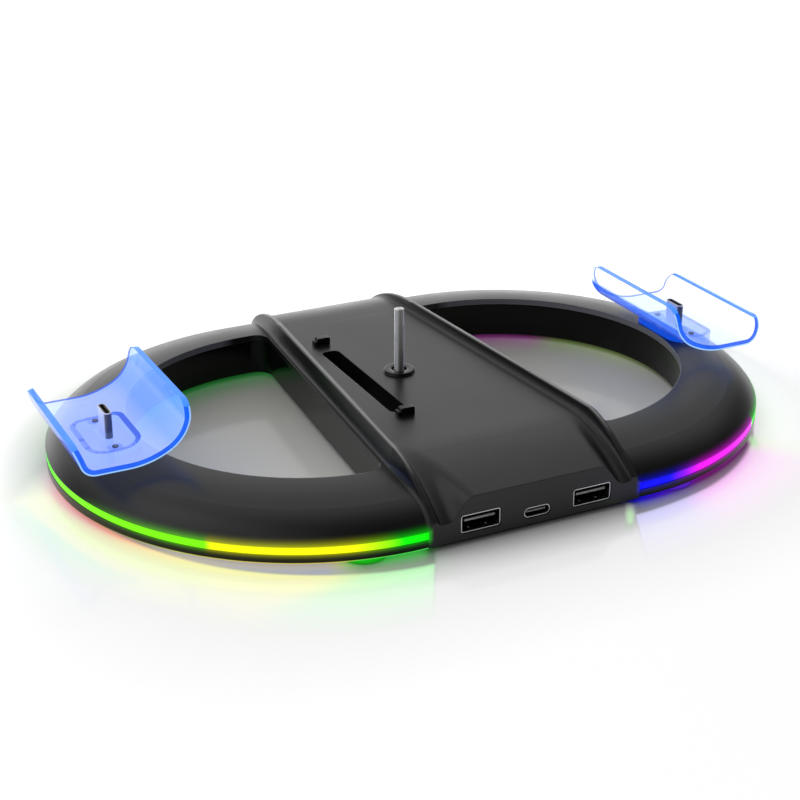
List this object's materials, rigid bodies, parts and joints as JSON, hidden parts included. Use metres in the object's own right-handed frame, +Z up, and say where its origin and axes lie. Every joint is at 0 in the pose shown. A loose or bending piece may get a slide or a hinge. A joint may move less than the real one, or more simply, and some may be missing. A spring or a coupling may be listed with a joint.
{
  "type": "vertical console stand",
  "caption": "Low oval stand for an upright game console: black ring with a raised deck and fixing screw, light strip round its side, front sockets and clear blue charging cradles.",
  "frame": {"origin": "on the table, below the middle of the oval case", "axes": "+X from the left cradle to the right one, +Y to the back (the sockets face -Y), +Z up"},
  "size_m": [0.2472, 0.17, 0.042],
  "materials": {
    "black_shell": "fine satin moulded black",
    "black_cover": "polished moulded black",
    "light_guide": "milky diffusing strip, lit from behind",
    "lamp_strip": "white flexible strip with lamps",
    "circuit_board": "green solder mask",
    "plated_steel": "bright plated sheet",
    "socket_plastic": "black moulded insert with a pale edge",
    "screw_steel": "bright nickel plate",
    "collar_rubber": "black, slightly glossy",
    "foot_rubber": "matte black",
    "clear_blue": "clear tinted blue",
    "plug_plastic": "black moulded insert",
    "lead_jacket": "flat black two-core lead"
  },
  "bodies": {
    "stand": {"top_shell": "black_shell", "bottom_cover": "black_cover", "light_guide_left": "light_guide", "light_guide_right": "light_guide", "led_strip_left": "lamp_strip", "led_strip_right": "lamp_strip", "main_board": "circuit_board", "usb_a_shell_left": "plated_steel", "usb_a_shell_right": "plated_steel", "usb_a_tongue_left": "socket_plastic", "usb_a_tongue_right": "socket_plastic", "usb_c_port_shell": "plated_steel", "usb_c_port_tongue": "socket_plastic", "screw_collar": "collar_rubber", "foot_front_left": "foot_rubber", "foot_front_right": "foot_rubber", "foot_back_left": "foot_rubber", "foot_back_right": "foot_rubber", "cradle_left": "clear_blue", "cradle_right": "clear_blue", "plug_shell_left": "plated_steel", "plug_shell_right": "plated_steel", "plug_core_left": "plug_plastic", "plug_core_right": "plug_plastic", "plug_holder_left": "plug_plastic", "plug_holder_right": "plug_plastic", "charge_board_left": "circuit_board", "charge_board_right": "circuit_board", "charge_lead_left": "lead_jacket", "charge_lead_right": "lead_jacket", "housing_screws": "screw_steel", "cradle_screws": "screw_steel"},
    "console_screw": {"console_screw": "screw_steel"}
  },
  "joints": [
    {"name": "screw_spin", "type": "hinge", "parent": "stand", "child": "console_screw", "pos_m": [-0.0041, 0, 0.02], "axis": [0, 0, 1], "continuous": true}
  ]
}
